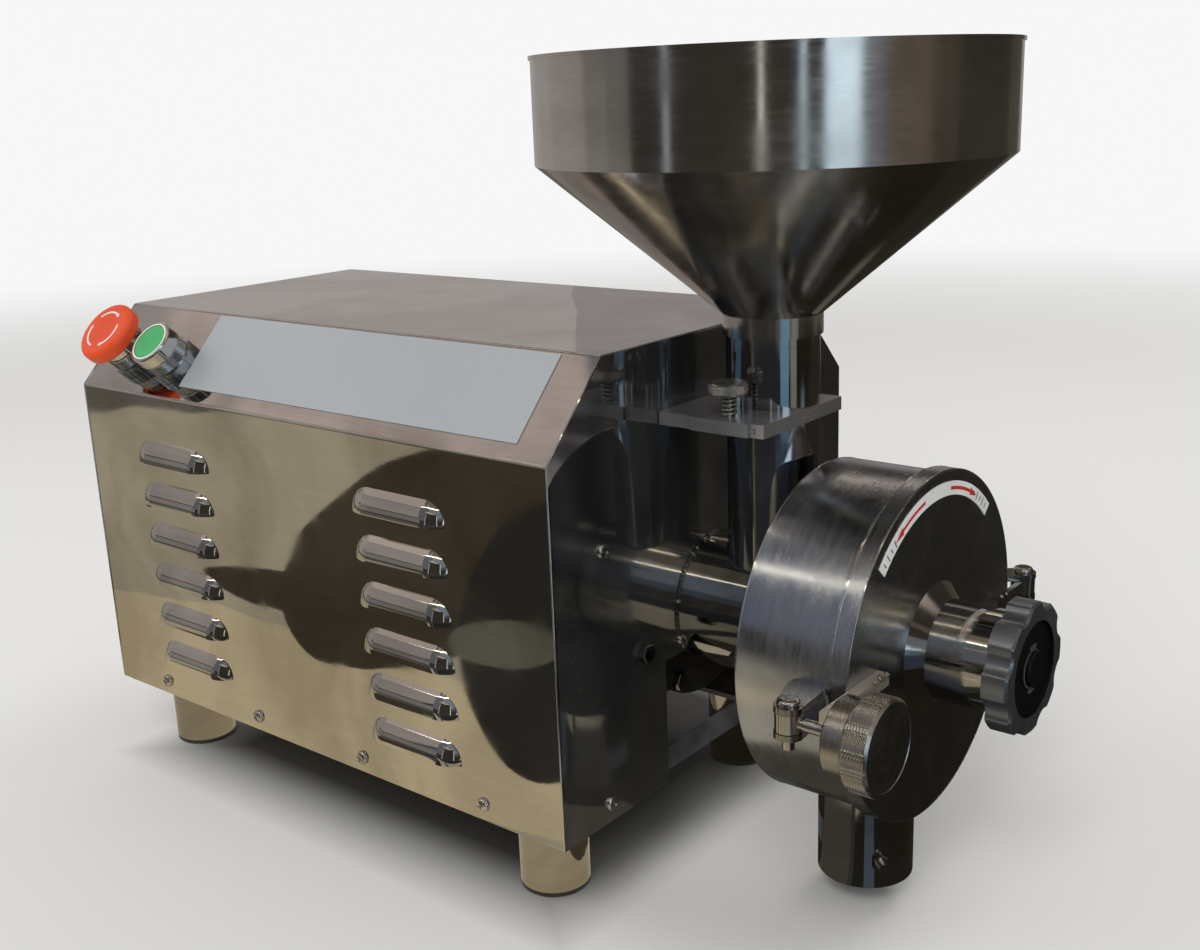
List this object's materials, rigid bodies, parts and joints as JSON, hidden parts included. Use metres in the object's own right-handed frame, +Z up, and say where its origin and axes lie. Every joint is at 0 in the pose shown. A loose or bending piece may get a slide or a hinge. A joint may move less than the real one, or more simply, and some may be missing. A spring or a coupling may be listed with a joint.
{
  "type": "plate mill",
  "caption": "Motor-driven stainless plate mill: folded housing, hopper with gate, auger neck, round drum with hinged cover, star-knob burr adjuster and downward spout.",
  "frame": {"origin": "middle of the mill's bounding box at the surface it stands on", "axes": "+X along the shaft towards the grinding end, +Z up, -Y is the side with the push buttons"},
  "size_m": [0.6006, 0.2988, 0.442],
  "materials": {
    "polished_steel": "mirror polished stainless sheet",
    "satin_steel": "satin stainless",
    "tube_steel": "polished stainless tube",
    "hopper_steel": "brushed stainless sheet",
    "dark_frame": "dark primed steel",
    "black_rubber": "matte",
    "gasket_rubber": "pale food-grade rubber",
    "screw_steel": "bright plated",
    "motor_grey": "satin paint",
    "stator_iron": "laminated",
    "bearing_steel": "ground",
    "capacitor_can": "gloss",
    "burr_iron": "machined white iron",
    "auger_steel": "worn bright",
    "plate_grey": "satin grey blue",
    "bezel_chrome": "chrome plated",
    "switch_plastic": "black",
    "gland_plastic": "black",
    "fan_plastic": "black",
    "nut_brass": "machined",
    "dial_white": "printed film",
    "knob_black": "black moulding",
    "turned_steel": "turned and knurled stainless",
    "button_green": "gloss",
    "button_red": "gloss"
  },
  "bodies": {
    "root": {"housing_cover": "polished_steel", "front_end_plate": "polished_steel", "rear_end_plate": "satin_steel", "side_rails": "dark_frame", "cross_rails": "dark_frame", "corner_plates": "dark_frame", "feet": "tube_steel", "foot_pads": "black_rubber", "housing_screws": "screw_steel", "motor_shell": "motor_grey", "motor_stator": "stator_iron", "motor_front_bell": "motor_grey", "motor_rear_bell": "motor_grey", "motor_bearings": "bearing_steel", "shaft_seal": "black_rubber", "fan_cowl": "motor_grey", "motor_saddles": "motor_grey", "motor_bolts": "screw_steel", "capacitor": "capacitor_can", "capacitor_clip": "bearing_steel", "neck_tube": "tube_steel", "feed_tube": "tube_steel", "gate_guide": "satin_steel", "gate_spring": "bearing_steel", "drum": "satin_steel", "cover_gasket": "gasket_rubber", "stationary_burr": "burr_iron", "outlet_spout": "tube_steel", "outlet_screw": "screw_steel", "latch_ears": "satin_steel", "ear_pins": "screw_steel", "swing_bolt": "screw_steel", "hinge_ears": "satin_steel", "name_plate": "plate_grey", "start_housing": "bezel_chrome", "stop_housing": "bezel_chrome", "contact_blocks": "switch_plastic", "cable_gland": "gland_plastic"},
    "rotor": {"main_shaft": "bearing_steel", "motor_rotor": "stator_iron", "cooling_fan": "fan_plastic", "feed_auger": "auger_steel"},
    "burr": {"moving_burr": "burr_iron"},
    "cover": {"front_cover": "polished_steel", "cover_neck": "tube_steel", "adjuster_nut": "nut_brass", "fork_bars": "satin_steel", "hinge_leaf": "satin_steel", "dial_plate": "dial_white"},
    "thrust": {"thrust_bearing": "bearing_steel"},
    "adjuster": {"adjuster_spindle": "bearing_steel", "star_knob": "knob_black"},
    "clamp_seat": {"clamp_washer": "screw_steel"},
    "clamp": {"clamp_knob": "turned_steel"},
    "gate": {"feed_gate": "satin_steel"},
    "thumb": {"thumb_screw": "turned_steel"},
    "hopper": {"hopper": "hopper_steel"},
    "start_cap": {"start_button": "button_green"},
    "stop_stem": {"stop_stem": "switch_plastic"},
    "stop_cap": {"stop_cap": "button_red"}
  },
  "joints": [
    {"name": "rotor_spin", "type": "hinge", "parent": "root", "child": "rotor", "pos_m": [0.1145, 0.00585, 0.15], "axis": [1, 0, 0], "continuous": true},
    {"name": "burr_travel", "type": "slide", "parent": "rotor", "child": "burr", "axis": [1, 0, 0], "range_m": [0, 0.003]},
    {"name": "cover_swing", "type": "hinge", "parent": "root", "child": "cover", "pos_m": [0.2473, 0.11685, 0.1485], "axis": [0, 0, 1], "range_deg": [0, 110]},
    {"name": "adjuster_travel", "type": "slide", "parent": "cover", "child": "thrust", "axis": [1, 0, 0], "range_m": [0, 0.003]},
    {"name": "adjuster_turn", "type": "hinge", "parent": "thrust", "child": "adjuster", "pos_m": [0.2645, 0.00585, 0.15], "axis": [1, 0, 0], "range_deg": [0, 540]},
    {"name": "clamp_travel", "type": "slide", "parent": "cover", "child": "clamp_seat", "axis": [1, 0, 0], "range_m": [0, 0.008]},
    {"name": "clamp_turn", "type": "hinge", "parent": "clamp_seat", "child": "clamp", "pos_m": [0.2645, -0.10515, 0.1485], "axis": [1, 0, 0], "range_deg": [0, 2880]},
    {"name": "gate_slide", "type": "slide", "parent": "root", "child": "gate", "axis": [0, -1, 0], "range_m": [0, 0.042]},
    {"name": "thumb_turn", "type": "hinge", "parent": "root", "child": "thumb", "pos_m": [0.1529, -0.03565, 0.27], "axis": [0, 0, 1], "range_deg": [0, 360]},
    {"name": "hopper_lift", "type": "slide", "parent": "root", "child": "hopper", "axis": [0, 0, 1], "range_m": [0, 0.15]},
    {"name": "start_press", "type": "slide", "parent": "root", "child": "start_cap", "axis": [0, 0.7226, -0.6912], "range_m": [0, 0.003], "stiffness_N_per_m": 400, "springref_m": -0.002},
    {"name": "stop_press", "type": "slide", "parent": "root", "child": "stop_stem", "axis": [0, 0.7226, -0.6912], "range_m": [0, 0.004], "stiffness_N_per_m": 600, "springref_m": -0.002},
    {"name": "stop_twist", "type": "hinge", "parent": "stop_stem", "child": "stop_cap", "pos_m": [-0.2375, -0.13228, 0.29098], "axis": [0, -0.7226, 0.6912], "range_deg": [-45, 0], "stiffness_Nm_per_rad": 0.05}
  ],
  "couplings": [
    {"joint": "burr_travel", "follows": "adjuster_travel", "ratio": 1},
    {"joint": "adjuster_turn", "follows": "adjuster_travel", "rad_per_m": 3141.6},
    {"joint": "clamp_turn", "follows": "clamp_travel", "rad_per_m": 6283.2}
  ]
}
